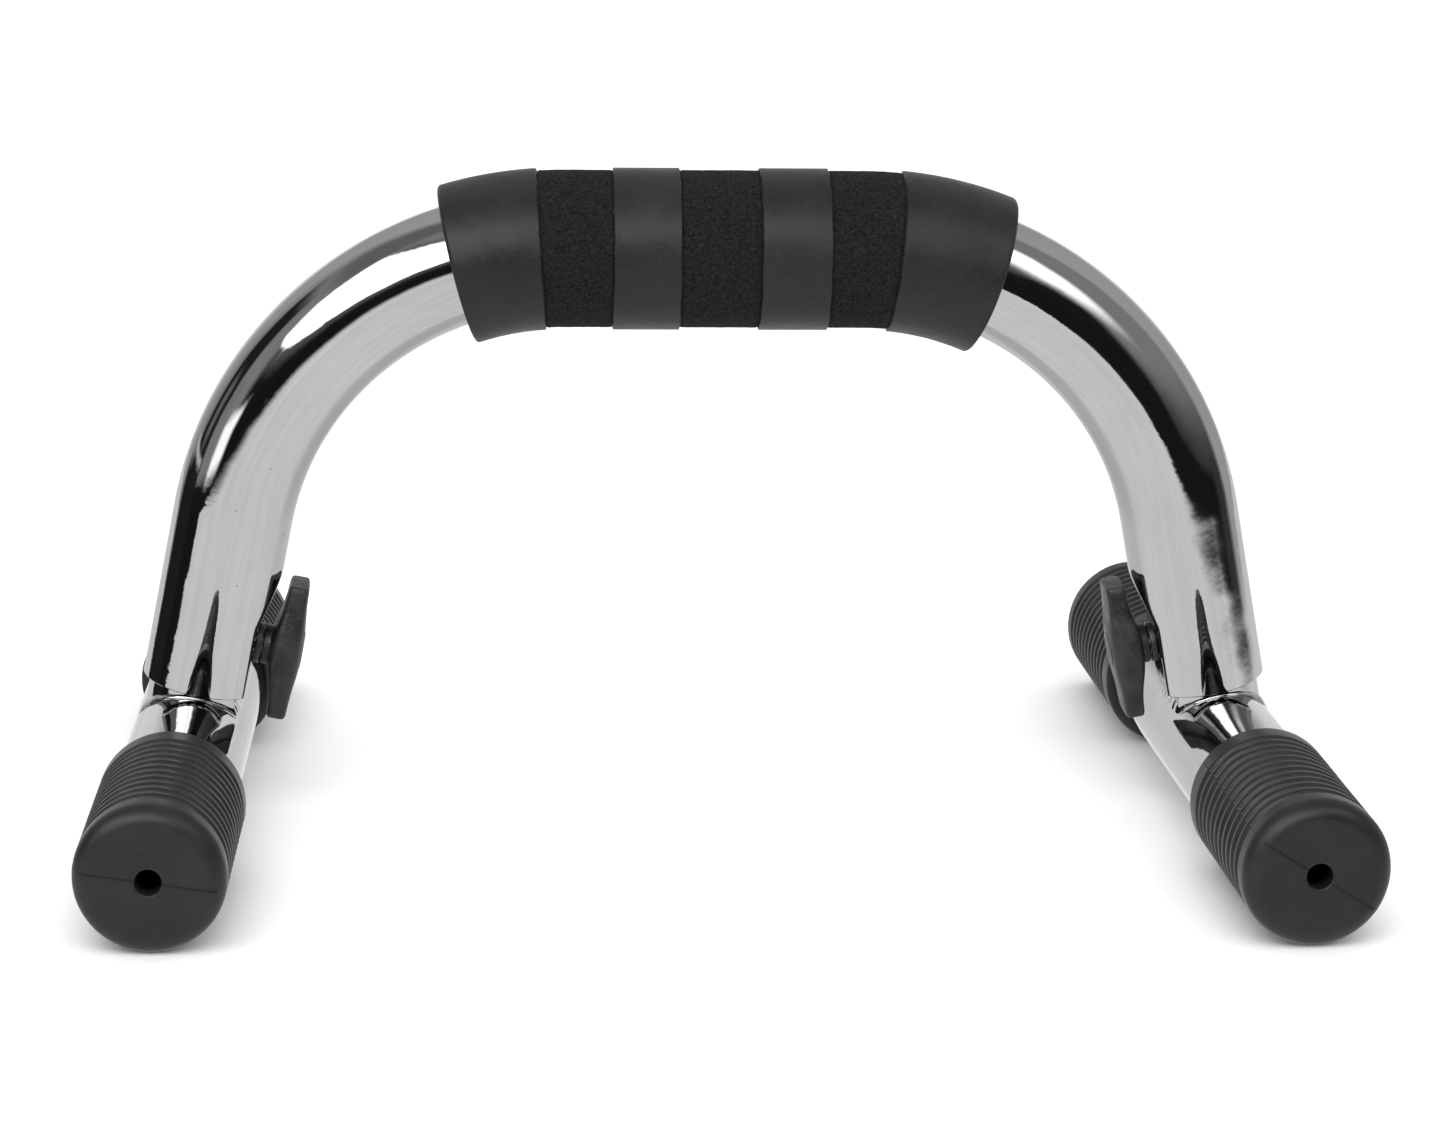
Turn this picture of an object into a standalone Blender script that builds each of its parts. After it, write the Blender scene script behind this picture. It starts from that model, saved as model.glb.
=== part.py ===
"""Push-up stand: a bent chrome handle with a foam grip, on two short base tubes with ribbed rubber feet.

Metres, +Z up, +X across the handle, +Y to the back. The origin is on the floor, at the middle of the footprint.
Each base hangs on its leg: a post on the base tube goes up inside the leg, and a wing screw through the leg holds it.
"""

import math

import bmesh
import bpy
from mathutils import Matrix, Vector

MM = 0.001

# Driving dimensions, in millimetres
TUBE_R = 12.7  # one-inch tube, outside
TUBE_WALL = 1.2
TOP_STRAIGHT = 31.6  # half of the straight run at the top of the arch
BEND_R = 71.27  # bend, at the tube's centre line
LEG_SPLAY = 11.27  # degrees from the vertical
LEG_LENGTH = 38.08  # straight run of each leg
TOP_Z = 123.3  # centre line of the straight run

# The inner side of each leg is pressed flat where the wing screw seats, and runs out into the round tube above it
FLAT_D = 9.5  # from the leg's axis to the flat, outside
FLAT_TOP, FLAT_RUN_OUT = 15.2, 26.0  # above the leg's end

GRIP_R = 17.0
GRIP_BAND_R = 16.5
GRIP_BORE_R = 13.1
GRIP_FROM, GRIP_TO = -55.5, 61.5  # along the centre line, from the middle of the top
GRIP_BANDS = ((-36.1, -21.0), (-7.1, 9.75), (24.1, 38.5))  # ground, slightly recessed bands

BASE_HALF = 90.0  # base axis: half length over the feet
BASE_TURN_LEFT = -0.84  # degrees about the vertical, each base as it stands
BASE_TURN_RIGHT = 3.6
TOE_OUT = 2.2  # degrees, from the flat of the post to square with its base tube

FOOT_R = 15.4
FOOT_LENGTH = 48.5
FOOT_END_WALL = 4.0
FOOT_FILLET = 3.8
FOOT_BORE_R = 13.1
FOOT_VENT_R = 2.65
FOOT_COLLAR = 5.0
FOOT_NOSE = 11.5
FOOT_GROOVES = 9
FOOT_GROOVE_DEPTH = 0.9
FOOT_SIDES = 24

POST_R = 11.1
POST_BORE_R = 9.5
POST_UP = 33.0  # reach inside the leg, from the leg's end
POST_SADDLE_R = 13.05
POST_FLAT_D = 7.8  # flat of the post, outside

SCREW_UP = 10.6  # screw axis above the leg's end, along the leg
SCREW_R = 2.9  # M6
SCREW_FROM, SCREW_TO = 0.2, 18.9  # distances from the leg's axis
SCREW_HEAD_AF = 8.0
SCREW_HEAD_FROM = 16.0
LEG_HOLE_R = 3.5
POST_HOLE_R = 3.4
NUT_AF = 10.0
NUT_FROM, NUT_TO = 0.9, 5.9
NUT_BORE_R = 3.2
WASHER_R = 4.4
WASHER_FROM, WASHER_TO = 9.8, 11.0

KNOB_HALF_SPAN = 15.9
KNOB_COLLAR_R = 4.3
KNOB_COLLAR, KNOB_BACK, KNOB_CENTRE, KNOB_FRONT = 11.3, 12.6, 16.8, 19.9
KNOB_BORE_R = 3.25

SIDES = 24
FLOOR_Z = FOOT_R * math.cos(math.pi / FOOT_SIDES)  # the flat of each foot is on the floor


def clear_scene():
    for obj in list(bpy.data.objects):
        bpy.data.objects.remove(obj, do_unlink=True)


def material(name, colour, roughness, metallic):
    mat = bpy.data.materials.new(name)
    mat.use_nodes = True
    shader = mat.node_tree.nodes["Principled BSDF"]
    shader.inputs["Base Color"].default_value = (*colour, 1.0)
    shader.inputs["Roughness"].default_value = roughness
    shader.inputs["Metallic"].default_value = metallic
    return mat


def finish(bm, name, mat, parent=None, smooth=True):
    """Makes an object of the bmesh, whose points are in millimetres."""
    bmesh.ops.scale(bm, vec=(MM, MM, MM), verts=bm.verts)
    bmesh.ops.recalc_face_normals(bm, faces=bm.faces)
    mesh = bpy.data.meshes.new(name)
    bm.to_mesh(mesh)
    bm.free()
    if smooth:
        mesh.shade_smooth()
        mesh.set_sharp_from_angle(angle=math.radians(32))
    obj = bpy.data.objects.new(name, mesh)
    bpy.context.scene.collection.objects.link(obj)
    obj.data.materials.append(mat)
    obj.parent = parent
    return obj


def cutter(obj):
    obj.hide_render = True
    obj.display_type = "WIRE"
    return obj


def cut(obj, tool, operation="DIFFERENCE"):
    mod = obj.modifiers.new("cut_" + tool.name, "BOOLEAN")
    mod.operation = operation
    mod.solver = "EXACT"
    mod.object = tool
    return mod


def ring(bm, centre, u, v, radius, sides, phase=0.0):
    """One ring of points about centre, in the plane of u and v."""
    turn = [2 * math.pi * (k + phase) / sides for k in range(sides)]
    return [bm.verts.new(centre + u * radius * math.cos(a) + v * radius * math.sin(a)) for a in turn]


def skin(bm, rings, closed=False):
    """Quads between each ring and the next."""
    pairs = list(zip(rings, rings[1:]))
    if closed:
        pairs.append((rings[-1], rings[0]))
    for one, two in pairs:
        count = len(one)
        for k in range(count):
            n = (k + 1) % count
            bm.faces.new((one[k], one[n], two[n], two[k]))


def lathe(profile, sides, phase=0.0, axis="Z"):
    """A closed profile of (radius, height) points turned about the axis. Radius 0 at an end closes it with a cap."""
    bm = bmesh.new()
    u, v, w = {"Z": (Vector((1, 0, 0)), Vector((0, 1, 0)), Vector((0, 0, 1))),
               "Y": (Vector((0, 0, 1)), Vector((1, 0, 0)), Vector((0, 1, 0))),
               "X": (Vector((0, 1, 0)), Vector((0, 0, 1)), Vector((1, 0, 0)))}[axis]
    capped = profile[0][0] == 0
    points = profile[1:-1] if capped else profile
    rings = [ring(bm, w * h, u, v, r, sides, phase) for r, h in points]
    skin(bm, rings, closed=not capped)
    if capped:
        bm.faces.new(rings[0])
        bm.faces.new(rings[-1])
    return bm


# The arch's centre line

BEND_ANGLE = math.radians(90 - LEG_SPLAY)
LEG_START = TOP_STRAIGHT + BEND_R * BEND_ANGLE
HALF_ARC = LEG_START + LEG_LENGTH


def centre_line(t):
    """(point, outward normal) at the arc length t from the middle of the top, to the right when t is positive."""
    side = 1 if t >= 0 else -1
    a = abs(t)
    if a <= TOP_STRAIGHT:
        point, turn = Vector((a, 0, TOP_Z)), 0.0
    elif a <= LEG_START:
        turn = (a - TOP_STRAIGHT) / BEND_R
        point = Vector((TOP_STRAIGHT + BEND_R * math.sin(turn), 0, TOP_Z - BEND_R * (1 - math.cos(turn))))
    else:
        turn = BEND_ANGLE
        point = Vector((TOP_STRAIGHT + BEND_R * math.sin(turn), 0, TOP_Z - BEND_R * (1 - math.cos(turn))))
        point += Vector((math.cos(turn), 0, -math.sin(turn))) * (a - LEG_START)
    normal = Vector((math.sin(turn), 0, math.cos(turn)))
    point.x *= side
    normal.x *= side
    return point, normal


LEG_END = centre_line(HALF_ARC)[0]
SPLAY = math.radians(LEG_SPLAY)
BASE_BELOW = (LEG_END.z - FLOOR_Z) / math.cos(SPLAY)  # leg's end to the base tube's axis, along the leg
BASE_X = LEG_END.x + BASE_BELOW * math.sin(SPLAY)


def arc_stations(start, end, step):
    """Arc lengths from start to end, with every change of curvature among them and none further apart than step."""
    keys = [start, end] + [k for k in (-LEG_START, -TOP_STRAIGHT, TOP_STRAIGHT, LEG_START) if start < k < end]
    keys.sort()
    out = [keys[0]]
    for one, two in zip(keys, keys[1:]):
        mid = (abs(one) + abs(two)) / 2
        bent = TOP_STRAIGHT < mid < LEG_START
        parts = max(1, math.ceil((two - one) / step)) if bent else 1
        out += [one + (two - one) * (k + 1) / parts for k in range(parts)]
    return out


def flat_at(t):
    """Distance from the leg's axis to the pressed flat at the arc length t, or None where the tube is round."""
    up = HALF_ARC - abs(t)
    if up >= FLAT_RUN_OUT:
        return None
    return FLAT_D + (TUBE_R - FLAT_D) * max(0.0, (up - FLAT_TOP) / (FLAT_RUN_OUT - FLAT_TOP))


def pressed(verts, centre, inward, flat):
    """Presses the ring's points that are further inward than flat back to it."""
    for vert in verts:
        over = (vert.co - centre).dot(inward) - flat
        if over > 0:
            vert.co -= inward * over


def swept(stations, outer, inner):
    """A tube along the centre line: outer(t) and inner(t) are its radii."""
    bm = bmesh.new()
    out_rings, in_rings = [], []
    for t in stations:
        point, normal = centre_line(t)
        out_rings.append(ring(bm, point, normal, Vector((0, 1, 0)), outer(t), SIDES))
        in_rings.append(ring(bm, point, normal, Vector((0, 1, 0)), inner(t), SIDES))
        flat = flat_at(t)
        if flat is not None:
            pressed(out_rings[-1], point, -normal, flat)
            pressed(in_rings[-1], point, -normal, flat - TUBE_WALL)
    skin(bm, out_rings)
    skin(bm, in_rings)
    skin(bm, [out_rings[0], in_rings[0]])
    skin(bm, [out_rings[-1], in_rings[-1]])
    return bm


def make_handle(parent, chrome):
    stations = arc_stations(-HALF_ARC, HALF_ARC, 9.0)
    for up in (FLAT_TOP, FLAT_RUN_OUT):
        stations += [HALF_ARC - up, up - HALF_ARC]
    stations.sort()
    return finish(swept(stations, lambda t: TUBE_R, lambda t: TUBE_R - TUBE_WALL), "handle_tube", chrome, parent)


def make_grip(parent, foam):
    edge = 0.45
    marks = [GRIP_FROM, GRIP_TO]
    for a, b in GRIP_BANDS:
        marks += [a - edge / 2, a + edge / 2, b - edge / 2, b + edge / 2]
    marks += [GRIP_FROM + 1.2, GRIP_TO - 1.2]
    marks.sort()
    stations = [marks[0]]
    for one, two in zip(marks, marks[1:]):
        stations += arc_stations(one, two, 9.0)[1:]

    def outer(t):
        if t in (GRIP_FROM, GRIP_TO):
            return GRIP_R - 1.0
        return GRIP_BAND_R if any(a < t < b for a, b in GRIP_BANDS) else GRIP_R

    return finish(swept(stations, outer, lambda t: GRIP_BORE_R), "foam_grip", foam, parent)


def foot_profile():
    """(radius, distance from the base's middle), from the open end's bore round the outside to the vent."""
    mouth = BASE_HALF - FOOT_LENGTH
    floor = BASE_HALF - FOOT_END_WALL
    points = [(FOOT_BORE_R, mouth), (FOOT_R - 0.6, mouth), (FOOT_R, mouth + 0.6)]
    ribs_from, ribs_to = mouth + FOOT_COLLAR, BASE_HALF - FOOT_NOSE
    pitch = (ribs_to - ribs_from) / FOOT_GROOVES
    for k in range(FOOT_GROOVES):
        low = ribs_from + k * pitch
        points += [(FOOT_R, low), (FOOT_R - FOOT_GROOVE_DEPTH, low + 0.5 * pitch)]
    points.append((FOOT_R, ribs_to))
    for k in range(4):
        a = math.pi / 2 * k / 3
        points.append((FOOT_R - FOOT_FILLET * (1 - math.cos(a)), BASE_HALF - FOOT_FILLET * (1 - math.sin(a))))
    points += [(FOOT_VENT_R, BASE_HALF), (FOOT_VENT_R, floor), (FOOT_BORE_R, floor)]
    return points


def make_base(side, turn, parent, mats):
    """One base: its frame stands at the leg's axis. side is -1 on the left, and turn is in degrees."""
    word = "left" if side < 0 else "right"
    chrome, rubber, plastic, steel, black = mats
    leg = Vector((side * math.sin(SPLAY), 0, -math.cos(SPLAY)))  # down the leg
    about_leg = Matrix.Rotation(math.radians(turn - side * TOE_OUT), 4, -leg)

    stand = bpy.data.objects.new("base_frame_" + word, None)
    bpy.context.scene.collection.objects.link(stand)
    stand.parent = parent
    stand.location = Vector((side * BASE_X, 0, FLOOR_Z)) * MM
    stand.rotation_euler.z = math.radians(turn)

    half = BASE_HALF - FOOT_END_WALL - 0.3
    r, b = TUBE_R, TUBE_R - TUBE_WALL
    tube = lathe([(b, -half), (r - 0.3, -half), (r, -half + 0.3), (r, half - 0.3), (r - 0.3, half), (b, half)], SIDES, axis="Y")
    finish(tube, "base_tube_" + word, chrome, stand)

    for end, way in (("front", -1), ("rear", 1)):
        bm = lathe([(q, way * y) for q, y in foot_profile()], FOOT_SIDES, phase=0.5, axis="Y")
        finish(bm, "foot_%s_%s" % (end, word), rubber, stand)

    # The joint frame: at the leg's end, z up the leg, x towards the wing screw
    pivot = bpy.data.objects.new("joint_frame_" + word, None)
    bpy.context.scene.collection.objects.link(pivot)
    pivot.parent = parent
    up = -leg
    inward = Vector((-side * math.cos(SPLAY), 0, -math.sin(SPLAY)))
    across = up.cross(inward)
    frame = Matrix((inward, across, up)).transposed().to_4x4()
    pivot.matrix_local = Matrix.Translation(Vector((side * LEG_END.x, 0, LEG_END.z)) * MM) @ about_leg @ frame

    saddle = cutter(finish(lathe([(0, -60), (POST_SADDLE_R, -60), (POST_SADDLE_R, 60), (0, 60)], 48, axis="Y"), "saddle_cut_" + word, chrome, stand))
    hole = lathe([(0, 5), (POST_HOLE_R, 5), (POST_HOLE_R, 20), (0, 20)], SIDES, axis="X")
    hole = cutter(finish(hole, "post_hole_cut_" + word, chrome, pivot))
    hole.location.z = SCREW_UP * MM

    low = -BASE_BELOW
    post = lathe([(POST_BORE_R, low), (POST_R, low), (POST_R, POST_UP - 0.8), (POST_R - 0.8, POST_UP), (POST_BORE_R, POST_UP)], SIDES, axis="Z")
    for vert in post.verts:
        inner = vert.co.xy.length < POST_BORE_R + 0.01
        vert.co.x = min(vert.co.x, POST_FLAT_D - (POST_R - POST_BORE_R if inner else 0.0))
    post = finish(post, "post_" + word, chrome, pivot)
    cut(post, saddle)
    cut(post, hole)

    def along_screw(obj):
        obj.location.z = SCREW_UP * MM
        return obj

    nut = bmesh.new()
    hexes, bores = [], []
    for h in (NUT_FROM, NUT_TO):
        centre = Vector((h, 0, 0))
        hexes.append([])
        corner = NUT_AF / 2 / math.cos(math.pi / 6)
        for k in range(24):
            a = 2 * math.pi * k / 24
            flat = NUT_AF / 2 / math.cos((a + math.pi / 6) % (math.pi / 3) - math.pi / 6)
            hexes[-1].append(nut.verts.new(centre + Vector((0, math.cos(a), math.sin(a))) * min(flat, corner)))
        bores.append(ring(nut, centre, Vector((0, 1, 0)), Vector((0, 0, 1)), NUT_BORE_R, 24))
    skin(nut, [hexes[0], hexes[1], bores[1], bores[0]], closed=True)
    along_screw(finish(nut, "weld_nut_" + word, steel, pivot))

    r = SCREW_R
    head = SCREW_HEAD_AF / 2 / math.cos(math.pi / 6)
    shank = lathe([(0, SCREW_FROM), (r - 0.6, SCREW_FROM), (r, SCREW_FROM + 0.6), (r, SCREW_HEAD_FROM + 0.5), (0, SCREW_HEAD_FROM + 0.5)], SIDES, axis="X")
    shank = along_screw(finish(shank, "screw_" + word, steel, pivot))
    hexagon = lathe([(0, SCREW_HEAD_FROM), (head, SCREW_HEAD_FROM), (head, SCREW_TO - 0.6), (0, SCREW_TO - 0.6)], 6, axis="X")
    cut(shank, along_screw(cutter(finish(hexagon, "screw_head_" + word, steel, pivot, smooth=False))), "UNION")

    washer = lathe([(3.25, WASHER_FROM), (WASHER_R, WASHER_FROM), (WASHER_R, WASHER_TO), (3.25, WASHER_TO)], SIDES, axis="X")
    along_screw(finish(washer, "knob_washer_" + word, black, pivot))

    knob = along_screw(finish(knob_body(), "wing_knob_" + word, plastic, pivot))
    collar = lathe([(0, KNOB_COLLAR), (KNOB_COLLAR_R, KNOB_COLLAR), (KNOB_COLLAR_R, KNOB_CENTRE - 1), (0, KNOB_CENTRE - 1)], SIDES, axis="X")
    cut(knob, along_screw(cutter(finish(collar, "knob_collar_" + word, plastic, pivot))), "UNION")
    bore = lathe([(0, 10), (KNOB_BORE_R, 10), (KNOB_BORE_R, SCREW_HEAD_FROM), (0, SCREW_HEAD_FROM)], SIDES, axis="X")
    cut(knob, along_screw(cutter(finish(bore, "knob_bore_cut_" + word, plastic, pivot))))
    pocket = lathe([(0, SCREW_HEAD_FROM - 0.3), (head + 0.35, SCREW_HEAD_FROM - 0.3), (head + 0.35, SCREW_TO - 0.3), (0, SCREW_TO - 0.3)], 6, axis="X")
    cut(knob, along_screw(cutter(finish(pocket, "knob_pocket_cut_" + word, plastic, pivot, smooth=False))))
    return stand, pivot


def knob_body():
    """The wing knob, lofted along its span (z): a flat bar that swells to a round hub. Its axis is x."""
    bm = bmesh.new()
    rings = []
    count = 18
    for k in range(count + 1):
        s = -math.cos(math.pi * k / count)  # close together at the tips
        z = s * KNOB_HALF_SPAN
        hub = math.exp(-((z / 6.2) ** 4))
        tip = max(0.0, (abs(z) - (KNOB_HALF_SPAN - 2.2)) / 2.2)
        close = math.sqrt(max(0.0, 1 - tip * tip)) if tip < 1 else 0.0
        close = 0.62 + 0.38 * close
        back = KNOB_BACK * hub + (KNOB_CENTRE - 2.1) * (1 - hub)
        front = KNOB_FRONT * hub + (KNOB_CENTRE + 2.1) * (1 - hub)
        half = 5.3 + 1.5 * hub
        mid, thick = (back + front) / 2, (front - back) / 2 * close
        half *= close
        points = []
        for j in range(20):
            a = 2 * math.pi * (j + 0.5) / 20
            c, d = math.cos(a), math.sin(a)
            x = mid + thick * math.copysign(abs(c) ** 0.5, c)
            y = half * math.copysign(abs(d) ** 0.6, d)
            points.append(bm.verts.new((x, y, z)))
        rings.append(points)
    skin(bm, rings)
    bm.faces.new(rings[0])
    bm.faces.new(rings[-1])
    return bm


def centre_on_footprint(root):
    """Moves the root so that the origin is at the middle of the footprint."""
    bpy.context.view_layer.update()
    xs = []
    for obj in bpy.data.objects:
        if obj.name.startswith("foot_"):
            xs += [(obj.matrix_world @ v.co).x for v in obj.data.vertices]
    root.location.x -= (min(xs) + max(xs)) / 2


def main():
    clear_scene()
    chrome = material("chrome", (0.72, 0.72, 0.73), 0.06, 1.0)
    foam = material("foam", (0.02, 0.02, 0.02), 0.75, 0.0)
    rubber = material("rubber", (0.035, 0.035, 0.036), 0.6, 0.0)
    plastic = material("plastic", (0.03, 0.03, 0.032), 0.45, 0.0)
    steel = material("zinc_steel", (0.6, 0.6, 0.6), 0.35, 1.0)
    nylon = material("nylon", (0.02, 0.02, 0.02), 0.5, 0.0)

    root = bpy.data.objects.new("stand", None)
    bpy.context.scene.collection.objects.link(root)
    handle = make_handle(root, chrome)
    make_grip(root, foam)
    for side, turn in ((-1, BASE_TURN_LEFT), (1, BASE_TURN_RIGHT)):
        make_base(side, turn, root, (chrome, rubber, plastic, steel, nylon))
        word = "left" if side < 0 else "right"
        # The leg's hole points straight inwards: the base has a little play in it
        inward = Vector((-side * math.cos(SPLAY), 0, -math.sin(SPLAY)))
        up = Vector((-side * math.sin(SPLAY), 0, math.cos(SPLAY)))
        hole = lathe([(0, 6), (LEG_HOLE_R, 6), (LEG_HOLE_R, 18), (0, 18)], SIDES, axis="X")
        hole = cutter(finish(hole, "leg_hole_cut_" + word, chrome, root))
        frame = Matrix((inward, up.cross(inward), up)).transposed().to_4x4()
        place = Vector((side * LEG_END.x, 0, LEG_END.z)) + up * SCREW_UP
        hole.matrix_local = Matrix.Translation(place * MM) @ frame
        cut(handle, hole)
    centre_on_footprint(root)


main()
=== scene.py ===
"""Looks of the push-up stand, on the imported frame. Lengths are in millimetres until a piece is made."""

import math

import bmesh
import bpy
import numpy as np
from mathutils import Matrix, Vector, noise


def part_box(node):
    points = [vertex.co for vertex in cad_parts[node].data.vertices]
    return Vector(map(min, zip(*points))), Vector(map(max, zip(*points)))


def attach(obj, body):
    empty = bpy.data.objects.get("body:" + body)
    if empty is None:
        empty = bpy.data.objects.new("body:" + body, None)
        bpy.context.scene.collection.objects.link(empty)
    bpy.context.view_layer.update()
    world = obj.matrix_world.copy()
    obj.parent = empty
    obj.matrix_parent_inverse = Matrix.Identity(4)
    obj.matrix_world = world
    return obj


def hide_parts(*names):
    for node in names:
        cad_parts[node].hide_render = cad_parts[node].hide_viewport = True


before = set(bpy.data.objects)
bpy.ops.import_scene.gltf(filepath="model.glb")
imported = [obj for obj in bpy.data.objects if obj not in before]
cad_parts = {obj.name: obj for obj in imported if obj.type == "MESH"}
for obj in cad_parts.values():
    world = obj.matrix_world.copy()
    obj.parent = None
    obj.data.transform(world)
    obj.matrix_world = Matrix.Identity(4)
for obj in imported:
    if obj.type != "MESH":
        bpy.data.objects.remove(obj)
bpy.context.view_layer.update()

MM = 0.001

# The same dimensions as the CAD
TUBE_R, TUBE_WALL = 12.7, 1.2
TOP_STRAIGHT, BEND_R, LEG_SPLAY, LEG_LENGTH, TOP_Z = 31.6, 71.27, 11.27, 38.08, 123.3
FLAT_D, FLAT_TOP, FLAT_RUN_OUT = 9.5, 15.2, 26.0
GRIP_R, GRIP_BAND_R, GRIP_FROM, GRIP_TO = 17.0, 16.5, -55.5, 61.5
GRIP_BANDS = ((-36.1, -21.0), (-7.1, 9.75), (24.1, 38.5))
BASE_HALF, BASE_TURN, TOE_OUT = 90.0, {-1: -0.84, 1: 3.6}, 2.2
FOOT_R, FOOT_LENGTH, FOOT_END_WALL, FOOT_FILLET = 15.4, 48.5, 4.0, 3.8
FOOT_VENT_R, FOOT_COLLAR, FOOT_NOSE, FOOT_GROOVES = 2.65, 5.0, 6.2, 11
POST_R, POST_BORE_R, POST_UP, POST_FLAT_D = 11.1, 9.5, 33.0, 7.8
SCREW_UP = 10.6
KNOB_HALF_SPAN = 14.9
KNOB_COLLAR_R, KNOB_COLLAR, KNOB_BACK, KNOB_CENTRE, KNOB_FRONT = 4.3, 11.3, 12.6, 16.8, 19.9
FLOOR_Z = FOOT_R * math.cos(math.pi / 24)

handle_low, handle_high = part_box("handle_tube")
SHIFT = (handle_low.x + handle_high.x) / 2 / MM  # the arch's middle in the row frame

BEND_ANGLE = math.radians(90 - LEG_SPLAY)
LEG_START = TOP_STRAIGHT + BEND_R * BEND_ANGLE
HALF_ARC = LEG_START + LEG_LENGTH
SPLAY = math.radians(LEG_SPLAY)


def smooth(v, a, b):
    t = min(1.0, max(0.0, (v - a) / (b - a)))
    return t * t * (3 - 2 * t)


def soft_min(a, b, k):
    h = min(1.0, max(0.0, 0.5 + 0.5 * (b - a) / k))
    return b * (1 - h) + a * h - k * h * (1 - h)


def centre_line(t):
    """(point, outward normal) at the arc length t from the middle of the top."""
    side = 1 if t >= 0 else -1
    a = abs(t)
    if a <= TOP_STRAIGHT:
        point, turn = Vector((a, 0, TOP_Z)), 0.0
    else:
        turn = min(BEND_ANGLE, (a - TOP_STRAIGHT) / BEND_R)
        point = Vector((TOP_STRAIGHT + BEND_R * math.sin(turn), 0, TOP_Z - BEND_R * (1 - math.cos(turn))))
        if a > LEG_START:
            point += Vector((math.cos(turn), 0, -math.sin(turn))) * (a - LEG_START)
    return Vector((point.x * side, 0, point.z)), Vector((math.sin(turn) * side, 0, math.cos(turn)))


LEG_END = centre_line(HALF_ARC)[0]
BASE_BELOW = (LEG_END.z - FLOOR_Z) / math.cos(SPLAY)
BASE_X = LEG_END.x + BASE_BELOW * math.sin(SPLAY)


def base_matrix(side):
    """The base tube's frame: its axis is y."""
    place = Vector((side * BASE_X + SHIFT, 0, FLOOR_Z))
    return Matrix.Translation(place) @ Matrix.Rotation(math.radians(BASE_TURN[side]), 4, "Z")


def joint_matrix(side):
    """The frame at the leg's end: z up the leg, x along the wing screw towards the middle."""
    leg = Vector((side * math.sin(SPLAY), 0, -math.cos(SPLAY)))
    inward = Vector((-side * math.cos(SPLAY), 0, -math.sin(SPLAY)))
    axes = Matrix((inward, (-leg).cross(inward), -leg)).transposed().to_4x4()
    turn = Matrix.Rotation(math.radians(BASE_TURN[side] - side * TOE_OUT), 4, -leg)
    return Matrix.Translation(Vector((side * LEG_END.x + SHIFT, 0, LEG_END.z))) @ turn @ axes


# Mesh making


class Build:
    """Rings of points and the faces between them."""

    def __init__(self):
        self.points, self.faces, self.mats, self.tube = [], [], [], []

    def ring(self, points, along=None):
        """along is the ring's distance along its tube, for the drawn marks in the metal."""
        start = len(self.points)
        self.points.extend(points)
        if along is not None:
            turns = (2 * math.pi * k / len(points) for k in range(len(points)))
            self.tube.extend((along, TUBE_R * math.cos(a), TUBE_R * math.sin(a)) for a in turns)
        return list(range(start, len(self.points)))

    def skin(self, rings, mat=0, closed=False):
        pairs = list(zip(rings, rings[1:]))
        if closed:
            pairs.append((rings[-1], rings[0]))
        for one, two in pairs:
            count = len(one)
            for k in range(count):
                n = (k + 1) % count
                self.faces.append((one[k], one[n], two[n], two[k]))
                self.mats.append(mat)

    def cap(self, ring, mat=0):
        self.faces.append(tuple(ring))
        self.mats.append(mat)


def piece(name, build, place, body, materials, nodes, sharp=34.0):
    """Makes the object in the row frame, riding on its body, in place of the CAD nodes."""
    points = np.array([tuple(p) for p in build.points])
    if place is not None:
        m = np.array(place)
        points = points @ m[:3, :3].T + m[:3, 3]
    mesh = bpy.data.meshes.new(name)
    mesh.from_pydata((points * MM).tolist(), [], build.faces)
    for mat in materials:
        mesh.materials.append(mat)
    mesh.polygons.foreach_set("material_index", build.mats)
    # The attribute holds distance along and round a tube for the chrome's marks; on the feet it holds the mask for the
    # painted shade along the parting line
    if len(build.tube) == len(build.points):
        along = mesh.attributes.new("layout_and_line_shade", "FLOAT_VECTOR", "POINT")
        along.data.foreach_set("vector", (np.array(build.tube, np.float32) * MM).ravel())
    bm = bmesh.new()
    bm.from_mesh(mesh)
    bmesh.ops.recalc_face_normals(bm, faces=bm.faces)
    bm.to_mesh(mesh)
    bm.free()
    mesh.shade_smooth()
    mesh.set_sharp_from_angle(angle=math.radians(sharp))
    obj = bpy.data.objects.new(name, mesh)
    bpy.context.scene.collection.objects.link(obj)
    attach(obj, body)
    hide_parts(*nodes)
    return obj


def drill(obj, matrix, radius, start, end):
    """Cuts a round hole along the matrix's x axis."""
    build = Build()
    rings = []
    for x in (start, end):
        rings.append(build.ring([Vector((x, radius * math.cos(a), radius * math.sin(a))) for a in np.linspace(0, 2 * math.pi, 49)[:-1]]))
    build.skin(rings)
    build.cap(rings[0])
    build.cap(rings[1])
    mesh = bpy.data.meshes.new("drill")
    m = np.array(matrix)
    points = np.array([tuple(p) for p in build.points]) @ m[:3, :3].T + m[:3, 3]
    mesh.from_pydata((points * MM).tolist(), [], build.faces)
    bm = bmesh.new()
    bm.from_mesh(mesh)
    bmesh.ops.recalc_face_normals(bm, faces=bm.faces)
    bm.to_mesh(mesh)
    bm.free()
    tool = bpy.data.objects.new("drill", mesh)
    bpy.context.scene.collection.objects.link(tool)
    mod = obj.modifiers.new("drill", "BOOLEAN")
    mod.operation, mod.solver, mod.object = "DIFFERENCE", "EXACT", tool
    bpy.context.view_layer.update()
    made = bpy.data.meshes.new_from_object(obj.evaluated_get(bpy.context.evaluated_depsgraph_get()))
    obj.modifiers.remove(mod)
    old = obj.data
    obj.data = made
    made.name = obj.name
    bpy.data.meshes.remove(old)
    bpy.data.objects.remove(tool)
    bpy.data.meshes.remove(mesh)
    obj.data.set_sharp_from_angle(angle=math.radians(34))


# Materials


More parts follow.
